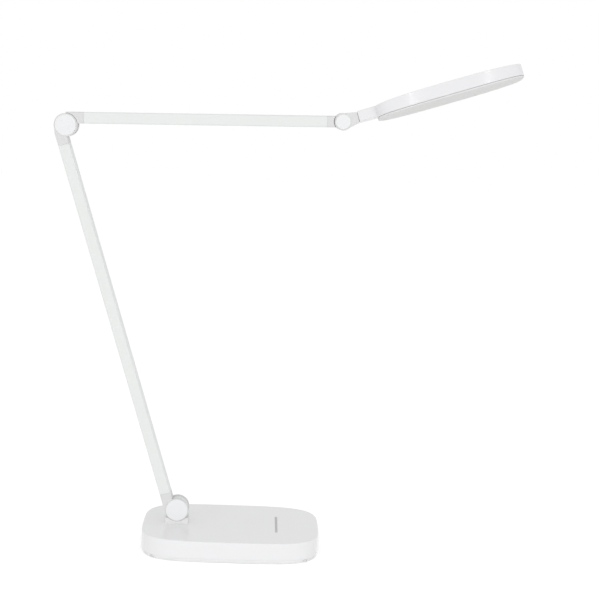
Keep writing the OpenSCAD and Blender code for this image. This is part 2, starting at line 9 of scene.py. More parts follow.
import bmesh
import bpy
from bpy.props import FloatProperty, FloatVectorProperty, PointerProperty
from mathutils import Matrix, Vector


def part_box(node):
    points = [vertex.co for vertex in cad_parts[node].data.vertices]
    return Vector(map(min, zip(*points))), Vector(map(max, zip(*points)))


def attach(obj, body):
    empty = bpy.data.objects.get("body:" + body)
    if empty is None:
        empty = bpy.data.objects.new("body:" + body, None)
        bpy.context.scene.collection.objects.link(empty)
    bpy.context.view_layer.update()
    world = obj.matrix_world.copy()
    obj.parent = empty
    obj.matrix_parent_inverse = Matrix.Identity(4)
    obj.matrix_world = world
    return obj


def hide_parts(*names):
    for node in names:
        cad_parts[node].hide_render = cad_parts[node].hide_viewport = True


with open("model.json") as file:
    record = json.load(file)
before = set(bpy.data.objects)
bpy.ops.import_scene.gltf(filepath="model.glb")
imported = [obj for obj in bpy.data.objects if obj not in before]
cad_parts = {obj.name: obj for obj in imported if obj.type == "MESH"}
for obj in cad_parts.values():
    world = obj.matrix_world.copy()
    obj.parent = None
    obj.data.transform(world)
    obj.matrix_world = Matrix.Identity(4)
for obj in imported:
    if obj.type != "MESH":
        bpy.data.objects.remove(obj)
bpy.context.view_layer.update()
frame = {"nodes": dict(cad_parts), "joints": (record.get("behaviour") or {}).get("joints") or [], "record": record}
NODES = frame["nodes"]
JOINTS = {j["name"]: j for j in frame["joints"]}

bl_info = {
    "name": "Folding Desk Lamp",
    "version": (1, 0, 0),
    "blender": (4, 5, 0),
    "location": "View3D > Sidebar > Desk Lamp",
    "description": "Dresses the frame of a folding LED desk lamp and sets its studio",
    "category": "Object",
}

MM = 0.001

# Meshes: points on the two superellipse outlines, and gaps that count as closed
OUTLINE_STEPS = 320
WELD_GAP = 0.004 * MM
MERGE_GAP = 1e-7
SMOOTH_ANGLE = math.radians(28)
BEVEL_ANGLE = math.radians(40)

# Most of a noise's values lie between these two
NOISE_LOW, NOISE_HIGH = 0.3, 0.7

# Base cover
FOOT_EDGE = 0.3 * MM
TOP_WALL = 2.4 * MM
CUT_DEPTH, CUT_PROUD = 5 * MM, 2 * MM
SLIDER_GAP = 0.12 * MM
OPENING_HALF_LENGTH, OPENING_HALF_DEPTH = 12.42 * MM, 8.52 * MM
INLET_HOLE_R = 5.2 * MM
INLET_CUT_IN, INLET_CUT_OUT = 8 * MM, 4 * MM

# Printed marks: x, y and half length of each dash
MARKS = [(16 * MM, 9 * MM, 2.2 * MM), (24.5 * MM, 9 * MM, 2.2 * MM),
         (20.3 * MM, 0.5 * MM, 2.0 * MM), (15.3 * MM, -8 * MM, 2.4 * MM),
         (23.5 * MM, -8 * MM, 3.1 * MM)]
MARK_HALF_WIDTH = 0.35 * MM
MARK_HALF_HEIGHT = 0.02 * MM

# Hinge caps: out to the back of the cap, its locating ring and its slight dome
CAP_BACK = 8.5 * MM
CAP_RING_WALL, CAP_RING_DEPTH = 0.8 * MM, 1 * MM
CAP_CUP = 0.2 * MM
CAP_BACK_EDGE = 0.15 * MM
CAP_DOME = 0.12 * MM
CAP_CENTRE = 0.0001 * MM

# Head pad: heights from the neck's axis and how far each face bows
TOP, LOW = 6.6 * MM, -6.9 * MM
TOP_CROWN, LOW_CROWN = 1.1 * MM, 0.4 * MM
PAD_WALL = 2.0 * MM
PAD_LIP = 0.35 * MM

# Neck, measured along it from the head hinge
NECK_START, NECK_PAST_PAD = 16.5 * MM, 6 * MM
NECK_HALF_DEPTH = 8.0 * MM
NECK_HALF_HEIGHT, NECK_FLARED_HALF_HEIGHT = 5.6 * MM, 5.9 * MM
NECK_CORNER, NECK_EDGE = 1.6 * MM, 0.35 * MM
SLEEVE_BORE_R = 3.76 * MM
CHAMBER_R, CHAMBER_START, CHAMBER_PAST_PAD = 4.9 * MM, 29.0 * MM, 8 * MM

# Diffuser: seam, thickness and the rim that stands up inside the shell
SEAM_GAP = 0.4 * MM
LENS_THICK, LENS_INSET, LENS_EDGE = 1.5 * MM, 0.4 * MM, 0.9 * MM
RIM_INSET, RIM_WALL, RIM_HEIGHT = 2.15 * MM, 1.1 * MM, 2.2 * MM

# Studio, in metres
FLOOR_HALF, FLOOR_DROP = 6.0, 0.0001
LAMP_MIDDLE, BASE_MIDDLE = Vector((0.1, 0, 0.35)), Vector((0, 0, 0.03))
KEY_PLACES = (("key_left", -1.85), ("key_right", 2.05))
KEY_Y, KEY_Z, KEY_SIZE = -2.3, 0.5, (1.6, 1.0)
STRIP_PLACES = (("strip_left", -0.17), ("strip_right", 0.72))
STRIP_Y, STRIP_Z, STRIP_SIZE = -1.75, 1.05, (0.07, 0.7)
FILL_AT, FILL_SIZE = Vector((-0.02, -0.55, 0.12)), (0.5, 0.12)
CAMERA_AT = (0.02172, -1.38675, 0.48255)
CAMERA_YAW, CAMERA_PITCH, CAMERA_ROLL = 0.03072, 0.15108, 0.04263


def node_size(node, axis):
    """Length of a construction node along one axis, in metres."""
    low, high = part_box(node)
    return high[axis] - low[axis]


def node_top(node):
    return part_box(node)[1].z


# ---------------------------------------------------------------- settings


def length(name, about, default):
    return FloatProperty(name=name, description=about, default=default, min=0.0,
                         subtype="DISTANCE", unit="LENGTH", precision=5)


def tint(name, about, default):
    return FloatVectorProperty(name=name, description=about, default=default, size=3,
                               min=0.0, max=1.0, subtype="COLOR")


class LampSizes(bpy.types.PropertyGroup):
    """Sizes of the mouldings that are remade with rounded edges."""

    base_length: length("Base length", "Length of the base cover",
                        node_size("base_cover", 0))
    base_depth: length("Base depth", "Depth of the base cover",
                       node_size("base_cover", 1))
    base_top: length("Base top", "Height of the base's top face above the table",
                     node_top("base_cover"))
    base_seam: length("Base seam", "Height of the seam under the base cover",
                      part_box("base_cover")[0].z)
    base_squareness: FloatProperty(
        name="Base squareness", default=4.1, min=2.0, max=8.0,
        description="Squareness of the base's outline, 2 is an ellipse")
    base_edge: length("Base edge", "Radius of the base cover's top edge", 1.5 * MM)
    base_wall: length("Base wall", "Wall of the base cover", 2.2 * MM)
    pad_length: length("Pad length", "Length of the head pad", 157 * MM)
    pad_width: length("Pad width", "Width of the head pad", 61 * MM)
    pad_start: length("Pad start", "From the head hinge to the pad", 35.8 * MM)
    pad_squareness: FloatProperty(
        name="Pad squareness", default=3.2, min=2.0, max=8.0,
        description="Squareness of the pad's outline, 2 is an ellipse")
    pad_edge: length("Pad edge", "Radius of the head shell's top edge", 0.7 * MM)
    head_turn: FloatProperty(
        name="Head turn", default=math.radians(9), subtype="ANGLE", unit="ROTATION",
        description="Turn of the head about its neck, its light to the front")
    cap_edge: length("Cap edge", "Radius of the hinge caps' front edge", 0.45 * MM)
    fitting_edge: length("Fitting edge", "Softened edge of the hinge fittings", 0.35 * MM)


class LampColours(bpy.types.PropertyGroup):
    """Colours of the finishes."""

    base_shell: tint("Base cover", "Moulded base cover", (0.875, 0.875, 0.885))
    head_shell: tint("Head shell", "Moulded head shell", (0.84, 0.84, 0.855))
    plate: tint("Bottom plate", "Moulded plate under the base", (0.89, 0.89, 0.89))
    tube: tint("Tubes", "Painted arm tubes", (0.81, 0.83, 0.815))
    fitting: tint("Fittings", "Powder coated hinge fittings", (0.73, 0.735, 0.73))
    # Painted light: the fittings' grey powder coat is made lighter here to offset the shade the bracket sits in,
    # under the hinge disc and behind the base top.
    bracket: tint("Bracket", "Powder coated base hinge bracket", (0.81, 0.81, 0.81))
    cap: tint("Caps", "Hinge caps", (0.86, 0.865, 0.875))
    slider: tint("Touch slider", "Inlaid touch slider", (0.5, 0.5, 0.51))
    mark: tint("Touch marks", "Printed touch marks", (0.76, 0.76, 0.77))
    lens: tint("Diffuser", "Frosted diffuser", (0.8, 0.795, 0.79))
    rubber: tint("Rubber", "Rubber pad under the base", (0.03, 0.03, 0.032))
    iron: tint("Weight", "Cast counterweight", (0.09, 0.09, 0.092))
    steel: tint("Steel", "Screws, nuts and washers", (0.56, 0.57, 0.59))
    aluminium: tint("Aluminium", "Heat plate", (0.72, 0.73, 0.74))
    board: tint("Circuit board", "Control and touch boards", (0.015, 0.13, 0.05))
    black: tint("Black plastic", "Power inlet", (0.02, 0.02, 0.022))
    lead: tint("Leads", "Insulated leads", (0.7, 0.7, 0.7))
    reflector: tint("Reflector", "Reflector frame", (0.88, 0.88, 0.88))
    led_board: tint("LED board", "White solder mask", (0.83, 0.83, 0.82))
    phosphor: tint("LED phosphor", "Faces of the LEDs", (0.8, 0.62, 0.12))


class LampStudio(bpy.types.PropertyGroup):
    """Floor, lights and camera."""

    sky: FloatProperty(name="Surround", description="Brightness of the surround",
                       default=0.74, min=0.0, max=2.0)
    key: FloatProperty(name="Key lights", description="Power of each broad key light",
                       default=12.0, min=0.0, subtype="POWER", unit="POWER")
    strips: FloatProperty(name="Strip lights", description="Power of each strip light",
                          default=1.05, min=0.0, subtype="POWER", unit="POWER")
    fill: FloatProperty(name="Low fill", description="Power of the low light on the base",
                        default=0.1, min=0.0, subtype="POWER", unit="POWER")
    floor: tint("Floor", "Colour of the floor", (0.9, 0.9, 0.9))
    floor_glow: FloatProperty(name="Floor whitening", default=0.345, min=0.0, max=1.0,
                              description="White seen by the camera on top of the floor")
    lens: FloatProperty(name="Lens", description="Focal length", default=79.43, min=10,
                        subtype="DISTANCE_CAMERA")


def sizes():
    return bpy.context.scene.desk_lamp_sizes


def colours():
    return bpy.context.scene.desk_lamp_colours


# ---------------------------------------------------------------- materials


class Recipe:
    """A material under way: its node tree, its shader and short calls to add nodes."""

    def __init__(self, name, roughness, metallic=0.0):
        self.material = bpy.data.materials.new(name)
        self.material.use_nodes = True
        self.tree = self.material.node_tree
        self.shader = self.tree.nodes["Principled BSDF"]
        self.shader.inputs["Roughness"].default_value = roughness
        self.shader.inputs["Metallic"].default_value = metallic
        self.place = self.add("ShaderNodeTexCoord").outputs["Object"]

    def add(self, kind, **values):
        node = self.tree.nodes.new(kind)
        for key, value in values.items():
            if key in node.inputs:
                node.inputs[key].default_value = value
            else:
                setattr(node, key, value)
        return node

    def link(self, a, b):
        self.tree.links.new(a, b)

    def stretched(self, scale, turn=(0, 0, 0)):
        """Place coordinates with their own scale along each axis."""
        node = self.add("ShaderNodeMapping")
        node.inputs["Scale"].default_value = scale
        node.inputs["Rotation"].default_value = turn
        self.link(self.place, node.inputs["Vector"])
        return node.outputs["Vector"]

    def noise(self, scale, detail=4.0, rough=0.55, place=None):
        node = self.add("ShaderNodeTexNoise", Scale=scale, Detail=detail, Roughness=rough)
        self.link(place or self.place, node.inputs["Vector"])
        return node.outputs["Fac"]

    def cells(self, scale):
        node = self.add("ShaderNodeTexVoronoi", Scale=scale)
        self.link(self.place, node.inputs["Vector"])
        return node.outputs["Distance"]

    def ramp(self, value, stops):
        node = self.add("ShaderNodeValToRGB")
        ramp = node.color_ramp
        while len(ramp.elements) < len(stops):
            ramp.elements.new(0.5)
        for element, (at, colour) in zip(ramp.elements, stops):
            element.position = at
            element.color = (*colour, 1.0)
        self.link(value, node.inputs["Fac"])
        return node.outputs["Color"]

    def tone(self, colour, value, change):
        """The colour, a little lighter and darker where the value goes."""
        dark = tuple(c * (1 - change) for c in colour)
        light = tuple(min(1.0, c * (1 + change)) for c in colour)
        self.link(self.ramp(value, [(NOISE_LOW, dark), (NOISE_HIGH, light)]),
                  self.shader.inputs["Base Color"])

    def relief(self, layers):
        """Bump from several heights: (height socket, strength, distance in metres)."""
        normal = None
        for height, strength, distance in layers:
            node = self.add("ShaderNodeBump", Strength=strength, Distance=distance)
            self.link(height, node.inputs["Height"])
            if normal:
                self.link(normal, node.inputs["Normal"])
            normal = node.outputs["Normal"]
        self.link(normal, self.shader.inputs["Normal"])

    def polish(self, value, low, high):
        """Roughness that goes from low to high with the value."""
        node = self.add("ShaderNodeMapRange")
        for key, number in (("From Min", NOISE_LOW), ("From Max", NOISE_HIGH),
                            ("To Min", low), ("To Max", high)):
            node.inputs[key].default_value = number
        self.link(value, node.inputs["Value"])
        self.link(node.outputs["Result"], self.shader.inputs["Roughness"])


def moulded_plastic(name, colour, roughness, peel=0.12):
    """Satin moulding: soft orange peel, a spark-eroded grain and handling marks."""
    r = Recipe(name, roughness)
    r.tone(colour, r.noise(22, 3), 0.006)
    r.polish(r.noise(70, 5), roughness - 0.03, roughness + 0.04)
    r.relief([(r.noise(420, 2), peel, 0.00002), (r.noise(2600, 2), 0.06, 0.00001)])
    r.shader.inputs["Specular IOR Level"].default_value = 0.5
    return r.material


def powder_coat(name, colour, roughness):
    """Fine matte powder coat: close grains with a faint fleck of tone."""
    r = Recipe(name, roughness)
    r.tone(colour, r.noise(1500, 3, 0.7), 0.035)
    r.polish(r.noise(160, 3), roughness - 0.05, roughness + 0.05)
    r.relief([(r.cells(1900), 0.22, 0.00006), (r.noise(3200, 2), 0.2, 0.00003)])
    return r.material


def painted_tube(name, colour, along, roughness):
    """Painted extrusion: die lines along the tube under a thin even coat."""
    r = Recipe(name, roughness)
    tilt = Vector((1, 0, 0)).rotation_difference(along).to_euler()
    lines = r.stretched((4, 900, 900), tuple(-a for a in tilt))
    r.tone(colour, r.noise(16, 4), 0.008)
    r.polish(r.noise(60, 4), roughness - 0.05, roughness + 0.05)
    r.relief([(r.noise(1.0, 3, 0.6, lines), 0.08, 0.00002),
              (r.noise(900, 2), 0.1, 0.00003)])
    return r.material


def frosted_lens(name, colour):
    """Diffuser: frosted outside with a close prism grain within."""
    r = Recipe(name, 0.5)
    r.tone(colour, r.noise(40, 3), 0.008)
    r.polish(r.noise(300, 3), 0.44, 0.56)
    r.relief([(r.cells(900), 0.03, 0.00002), (r.noise(2400, 2), 0.1, 0.00002)])
    r.shader.inputs["Subsurface Weight"].default_value = 0.15
    r.shader.inputs["Subsurface Radius"].default_value = (0.0015, 0.0015, 0.0015)
    return r.material


def inlay(name, colour):
    """Touch slider: a translucent grey strip set flush in the cover."""
    r = Recipe(name, 0.3)
    r.tone(colour, r.noise(300, 3), 0.05)
    r.polish(r.noise(500, 2), 0.26, 0.36)
    r.relief([(r.noise(1400, 2), 0.08, 0.00003)])
    return r.material


def rubber_sheet(name, colour):
    """Rubber pad: moulded pips, dust in the hollows."""
    r = Recipe(name, 0.85)
    pips = r.cells(420)
    dust = tuple(min(1.0, c * 2.2) for c in colour)
    r.link(r.ramp(pips, [(0.25, colour), (0.9, dust)]), r.shader.inputs["Base Color"])
    r.relief([(pips, 0.6, 0.0003), (r.noise(900, 4), 0.3, 0.0001)])
    return r.material


def cast_iron(name, colour):
    """Sand-cast weight: pitted skin with a brownish bloom."""
    r = Recipe(name, 0.7, 0.6)
    bloom = (colour[0] * 1.5, colour[1] * 1.2, colour[2] * 1.05)
    r.link(r.ramp(r.noise(90, 6), [(0.42, colour), (0.68, bloom)]),
           r.shader.inputs["Base Color"])
    r.polish(r.noise(200, 4), 0.55, 0.8)
    r.relief([(r.noise(260, 6, 0.7), 0.7, 0.0004), (r.cells(700), 0.3, 0.0002)])
    return r.material


def plated_steel(name, colour):
    """Zinc-plated fasteners: fine turning marks and a mottled plating."""
    r = Recipe(name, 0.32, 1.0)
    r.tone(colour, r.noise(900, 4), 0.09)
    r.polish(r.noise(1300, 3), 0.24, 0.42)
    turned = r.stretched((400, 6000, 400))
    r.relief([(r.noise(1.0, 2, 0.5, turned), 0.2, 0.00003)])
    return r.material


def rolled_sheet(name, colour, metallic, roughness):
    """Rolled sheet: straight roll marks along its length."""
    r = Recipe(name, roughness, metallic)
    marks = r.stretched((12, 1500, 1500))
    streak = r.noise(1.0, 4, 0.6, marks)
    r.tone(colour, streak, 0.05)
    r.polish(streak, roughness - 0.06, roughness + 0.08)
    r.relief([(streak, 0.15, 0.00003)])
    return r.material


def circuit_board(name, colour):
    """Solder mask over copper tracks."""
    r = Recipe(name, 0.35)
    tracks = r.add("ShaderNodeTexBrick", Scale=190.0)
    tracks.inputs["Mortar Size"].default_value = 0.03
    r.link(r.place, tracks.inputs["Vector"])
    copper = tuple(min(1.0, c * 2.1 + 0.01) for c in colour)
    r.link(r.ramp(tracks.outputs["Fac"], [(0.3, colour), (0.7, copper)]),
           r.shader.inputs["Base Color"])
    r.polish(r.noise(600, 3), 0.3, 0.42)
    r.relief([(tracks.outputs["Fac"], 0.4, 0.00005)])
    return r.material


def glass_fibre(name, colour):
    """White solder mask on the LED board, its weave just showing."""
    r = Recipe(name, 0.45)
    weave = r.add("ShaderNodeTexChecker", Scale=1600.0)
    r.link(r.place, weave.inputs["Vector"])
    r.tone(colour, r.noise(500, 3), 0.02)
    r.relief([(weave.outputs["Fac"], 0.08, 0.00003)])
    return r.material


def silicone_lead(name, colour):
    """Insulated lead: matt jacket with extrusion ripples."""
    r = Recipe(name, 0.55)
    r.tone(colour, r.noise(700, 3), 0.06)
    r.relief([(r.noise(1100, 3), 0.25, 0.00006)])
    return r.material


def phosphor(name, colour):
    """LED face: grains of phosphor in resin."""
    r = Recipe(name, 0.4)
    r.tone(colour, r.cells(3500), 0.15)
    r.relief([(r.noise(4000, 2), 0.2, 0.00003)])
    return r.material


FINISHES = {}


def finishes():
    """All finishes by name, made once."""
    if FINISHES:
        return FINISHES
    c = colours()
    arm = Vector(JOINTS["elbow_hinge"]["pos_m"]) - Vector(JOINTS["base_hinge"]["pos_m"])
    reach = Vector(JOINTS["head_tilt"]["pos_m"]) - Vector(JOINTS["elbow_hinge"]["pos_m"])
    made = [
        moulded_plastic("white_base", c.base_shell, 0.16),
        moulded_plastic("white_shell", c.head_shell, 0.16),
        moulded_plastic("white_plate", c.plate, 0.5),
        moulded_plastic("cap_white", c.cap, 0.36, 0.06),
        moulded_plastic("black_plastic", c.black, 0.45),
        moulded_plastic("reflector_white", c.reflector, 0.6),
        powder_coat("grey_fitting", c.fitting, 0.55),
        # Painted light: the bracket's coat is the fitting powder coat lightened to offset the shade around the
        # bracket.
        powder_coat("bracket_painted_light", c.bracket, 0.5),
        painted_tube("white_tube", c.tube, arm, 0.42),
        painted_tube("white_tube_upper", c.tube, reach, 0.42),
        frosted_lens("diffuser_frost", c.lens),
        inlay("slider_grey", c.slider),
        inlay("mark_grey", c.mark),
        rubber_sheet("rubber", c.rubber),
        cast_iron("cast_weight", c.iron),
        plated_steel("steel", c.steel),
        rolled_sheet("bare_aluminium", c.aluminium, 1.0, 0.35),
        circuit_board("circuit_board", c.board),
        glass_fibre("led_board_white", c.led_board),
        silicone_lead("lead_copper", c.lead),
        phosphor("led_yellow", c.phosphor),
    ]
    FINISHES.update((m.name.split(".")[0], m) for m in made)
    return FINISHES


# ---------------------------------------------------------------- mesh helpers


def soft_shading():
    """Modifier group that shades faces smooth and keeps real edges sharp."""
    name = "soft_shading"
    if name in bpy.data.node_groups:
        return bpy.data.node_groups[name]
    group = bpy.data.node_groups.new(name, "GeometryNodeTree")
    group.interface.new_socket("Geometry", in_out="INPUT", socket_type="NodeSocketGeometry")
    group.interface.new_socket("Geometry", in_out="OUTPUT",
                               socket_type="NodeSocketGeometry")
    into = group.nodes.new("NodeGroupInput")
    out = group.nodes.new("NodeGroupOutput")
    angle = group.nodes.new("GeometryNodeInputMeshEdgeAngle")
    flat = group.nodes.new("FunctionNodeCompare")
    flat.operation = "LESS_EQUAL"
    flat.inputs["B"].default_value = SMOOTH_ANGLE
    faces = group.nodes.new("GeometryNodeSetShadeSmooth")
    faces.domain = "FACE"
    edges = group.nodes.new("GeometryNodeSetShadeSmooth")
    edges.domain = "EDGE"
    link = group.links.new
    link(into.outputs[0], faces.inputs["Geometry"])
    link(faces.outputs[0], edges.inputs["Geometry"])
    link(angle.outputs["Unsigned Angle"], flat.inputs["A"])
    link(flat.outputs["Result"], edges.inputs["Shade Smooth"])
    link(edges.outputs[0], out.inputs[0])
    return group


def soften(obj, edge=0.0, segments=2, weld=True):
    """Modifiers that round an object's edges and even out its shading."""
    if weld:
        obj.modifiers.new("weld", "WELD").merge_threshold = WELD_GAP
    if edge:
        bevel = obj.modifiers.new("edge", "BEVEL")
        bevel.width = edge
        bevel.segments = segments
        bevel.limit_method = "ANGLE"
        bevel.angle_limit = BEVEL_ANGLE
        bevel.use_clamp_overlap = True
        bevel.miter_outer = "MITER_ARC"
    shade = obj.modifiers.new("shading", "NODES")
    shade.node_group = soft_shading()
    even = obj.modifiers.new("even", "WEIGHTED_NORMAL")
    even.keep_sharp = True


def paint(obj, finish):
    obj.data.materials.clear()
    obj.data.materials.append(finish)


def dress(node, finish, edge=0.0, segments=2):
    """Finish for a construction node that keeps its shape."""
    obj = NODES[node]
    paint(obj, finishes()[finish])
    soften(obj, edge, segments)


def new_piece(name, verts, faces, finish=None):
    mesh = bpy.data.meshes.new(name)
    mesh.from_pydata([tuple(v) for v in verts], [], faces)
    mesh.validate()
    obj = bpy.data.objects.new(name, mesh)
    bpy.context.scene.collection.objects.link(obj)
    if finish:
        paint(obj, finishes()[finish])
    return obj


def outward(obj):
    """Face normals made to point out of a closed mesh."""
    bm = bmesh.new()
    bm.from_mesh(obj.data)
    bmesh.ops.remove_doubles(bm, verts=bm.verts, dist=MERGE_GAP)
    bmesh.ops.recalc_face_normals(bm, faces=bm.faces)
    bm.to_mesh(obj.data)
    bm.free()


def squircle(a, b, n, steps):
    """Outline of a superellipse, its points evenly spaced along it."""
    fine = []
    for i in range(steps * 8):
        t = 2 * math.pi * i / (steps * 8)
        c, s = math.cos(t), math.sin(t)
        r = (abs(c / a) ** n + abs(s / b) ** n) ** (-1 / n)
        fine.append(Vector((r * c, r * s)))
    runs = [0.0]
    for p, q in zip(fine, fine[1:] + fine[:1]):
        runs.append(runs[-1] + (q - p).length)
    points, k = [], 0
    for i in range(steps):
        want = runs[-1] * i / steps
        while runs[k + 1] < want:
            k += 1
        f = (want - runs[k]) / (runs[k + 1] - runs[k])
        points.append(fine[k].lerp(fine[(k + 1) % len(fine)], f))
    return points


def loft(name, rings, finish=None):
    """Skin over rings of equally many points, in order, closed at both ends."""
    count = len(rings[0])
    verts = [p for ring in rings for p in ring]
    faces = []
    for r in range(len(rings) - 1):
        for i in range(count):
            j = (i + 1) % count
            faces.append((r * count + i, r * count + j, (r + 1) * count + j,
                          (r + 1) * count + i))
    faces.append(tuple(range(count))[::-1])
    faces.append(tuple(range((len(rings) - 1) * count, len(rings) * count)))
    obj = new_piece(name, verts, faces, finish)
    outward(obj)
    return obj


def spin_y(name, profile, centre, side, finish, steps=96):
    """A turned piece about the Y axis, its profile of (radius, distance out)."""
    rings = []
    for radius, out in profile:
        rings.append([Vector((centre.x + radius * math.cos(2 * math.pi * i / steps),
                              centre.y + side * out,
                              centre.z + radius * math.sin(2 * math.pi * i / steps)))
                      for i in range(steps)])
    return loft(name, rings, finish)


def quarter(radius, steps):
    """(inset, drop) pairs round a quarter fillet, from the side to the top."""
    turn = [math.pi / 2 * i / steps for i in range(steps + 1)]
    return [(radius * (1 - math.cos(t)), radius * (1 - math.sin(t))) for t in turn]


def prism(name, outline, low, high):
    """A temporary straight block over an outline, for cutting."""
    return loft(name, [[Vector((x, y, z)) for x, y in outline] for z in (low, high)])


def rod(name, radius, start, end, steps=64):
    """A temporary round bar between two points, for cutting."""
    axis = (end - start).normalized()
    side = axis.orthogonal().normalized()
    other = axis.cross(side)
    rings = [[at + side * radius * math.cos(2 * math.pi * i / steps)
              + other * radius * math.sin(2 * math.pi * i / steps) for i in range(steps)]
             for at in (start, end)]
    return loft(name, rings)


def bake(obj):
    """The object's modifiers made part of its mesh."""
    graph = bpy.context.evaluated_depsgraph_get()
    mesh = bpy.data.meshes.new_from_object(obj.evaluated_get(graph))
    old = obj.data
    obj.modifiers.clear()
    obj.data = mesh
    bpy.data.meshes.remove(old)


def combine(obj, other, how):
    """Boolean of two temporary or final solids; the second is used up."""
    mod = obj.modifiers.new("join", "BOOLEAN")
    mod.operation = how
    mod.solver = "EXACT"
    mod.object = other
    bake(obj)
    bpy.data.objects.remove(other)
    if not obj.data.polygons:
        raise RuntimeError(f"{obj.name} came out empty")


def rounded_slot(half_w, half_l, steps=12):
    """Outline of a slot with round ends, long in Y."""
    points = []
    for turn, end in ((0, 1), (math.pi, -1)):
        for i in range(steps + 1):
            t = turn + math.pi * i / steps
            points.append((half_w * math.cos(t),
                           end * (half_l - half_w) + half_w * math.sin(t)))
    return points


# ---------------------------------------------------------------- operators


class LAMP_OT_base_cover(bpy.types.Operator):
    """Base cover with its soft top edge, slider slot, hinge opening and inlet hole"""

    bl_idname = "lamp.base_cover"
    bl_label = "Base cover"

    def execute(self, context):
        s = sizes()
        a, b, n = s.base_length / 2, s.base_depth / 2, s.base_squareness

        def ring(inset, z):
            return [Vector((p.x, p.y, z))
                    for p in squircle(a - inset, b - inset, n, OUTLINE_STEPS)]

        def cut_top(name, outline):
            combine(cover, prism(name, outline, s.base_top - CUT_DEPTH,
                                 s.base_top + CUT_PROUD), "DIFFERENCE")

        rings = [ring(FOOT_EDGE * 0.9, s.base_seam), ring(0, s.base_seam + FOOT_EDGE)]
        rings += [ring(inset, s.base_top - drop)
                  for inset, drop in quarter(s.base_edge, 6)]
        cover = loft("base_cover_skin", rings, "white_base")
        hollow = loft("hollow", [ring(s.base_wall, z) for z in
                                 (s.base_seam - 1 * MM, s.base_top - TOP_WALL)])
        combine(cover, hollow, "DIFFERENCE")

        low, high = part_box("touch_slider")
        cut_top("slot", [(x + (low.x + high.x) / 2, y) for x, y in
                         rounded_slot((high.x - low.x) / 2 + SLIDER_GAP,
                                      (high.y - low.y) / 2 + SLIDER_GAP)])

        hinge = Vector(JOINTS["base_hinge"]["pos_m"])
        w, d = OPENING_HALF_LENGTH, OPENING_HALF_DEPTH
        cut_top("opening", [(hinge.x - w, -d), (hinge.x + w, -d),
                            (hinge.x + w, d), (hinge.x - w, d)])

        pin = next(m for m in frame["record"]["mounts"] if m["name"] == "inlet_pin")
        at = Vector(pin["pos_m"])
        hole = rod("hole", INLET_HOLE_R, Vector((at.x, b - INLET_CUT_IN, at.z)),
                   Vector((at.x, b + INLET_CUT_OUT, at.z)))
        combine(cover, hole, "DIFFERENCE")
        soften(cover, weld=False)
        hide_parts("base_cover")
        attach(cover, "base")
        return {"FINISHED"}


class LAMP_OT_base_parts(bpy.types.Operator):
    """Finishes for the bottom plate, rubber pad, slider, inlet and the parts inside"""

    bl_idname = "lamp.base_parts"
    bl_label = "Parts of the base"

    def execute(self, context):
        dress("bottom_plate", "white_plate", 0.5 * MM, 3)
        dress("rubber_pad", "rubber", 0.2 * MM)
        dress("counterweight", "cast_weight", 0.8 * MM, 3)
        for node in ("weight_screws", "bracket_screws"):
            dress(node, "steel", 0.15 * MM)
        # Steel in the construction. White hides, and does not mend, that the plate's
        # counterbores for these screws break through its rim at the four corners.
        dress("cover_screws", "white_plate", 0.15 * MM)
        for node in ("control_board", "touch_board"):
            dress(node, "circuit_board", 0.1 * MM)
        dress("touch_slider", "slider_grey")
        dress("power_inlet", "black_plastic", 0.25 * MM)
        dress("base_lead", "lead_copper")
        # The bracket gets the lightened powder coat, painted light that offsets the shade under the hinge disc.
        dress("hinge_bracket", "bracket_painted_light", 0.3 * MM)
        return {"FINISHED"}


class LAMP_OT_touch_marks(bpy.types.Operator):
    """Faint printed dashes beside the touch slider"""

    bl_idname = "lamp.touch_marks"
    bl_label = "Touch marks"

    def execute(self, context):
        z = sizes().base_top
        for k, (x, y, half) in enumerate(MARKS):
            rings = [[Vector((x + px, y + py, z + h)) for py, px in
                      rounded_slot(MARK_HALF_WIDTH, half)]
                     for h in (-MARK_HALF_HEIGHT, MARK_HALF_HEIGHT)]
            mark = loft(f"touch_mark_{k + 1}", rings, "mark_grey")
            soften(mark, weld=False)
            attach(mark, "base")
        return {"FINISHED"}


class LAMP_OT_hinge_caps(bpy.types.Operator):
    """The six turned caps with their rounded rims"""

    bl_idname = "lamp.hinge_caps"
    bl_label = "Hinge caps"

    def execute(self, context):
        s = sizes()
        rows = (("base_hinge", "base_hinge", 6.45 * MM),
                ("elbow", "elbow_hinge", 6.45 * MM),
                ("head_hinge", "head_tilt", 5.35 * MM))
        for prefix, joint, ring in rows:
            centre = Vector(JOINTS[joint]["pos_m"])
            body = "neck" if joint == "head_tilt" else "lower_arm"
            for word, side in (("front", -1), ("rear", 1)):
                node = f"{prefix}_{word}_cap"
                low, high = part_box(node)
                radius = (high.x - low.x) / 2
                face = max(abs(low.y), abs(high.y))
                profile = [(CAP_CENTRE, CAP_BACK + CAP_CUP),
                           (ring - CAP_RING_WALL, CAP_BACK + CAP_CUP),
                           (ring - CAP_RING_WALL, CAP_BACK - CAP_RING_DEPTH),
                           (ring, CAP_BACK - CAP_RING_DEPTH),
                           (ring, CAP_BACK),
                           (radius - CAP_BACK_EDGE, CAP_BACK),
                           (radius, CAP_BACK + CAP_BACK_EDGE)]
                profile += [(radius - inset, face - CAP_DOME - drop)
                            for inset, drop in quarter(s.cap_edge, 5)]
                flat = radius - s.cap_edge
                profile += [(flat * f, face - CAP_DOME * f * f)
                            for f in (0.9, 0.7, 0.5, 0.3, 0.1, 0.0001)]
                cap = spin_y(f"{node}_turned", profile, centre, side, "cap_white")
                soften(cap, weld=False)
                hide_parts(node)
                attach(cap, body)
        return {"FINISHED"}


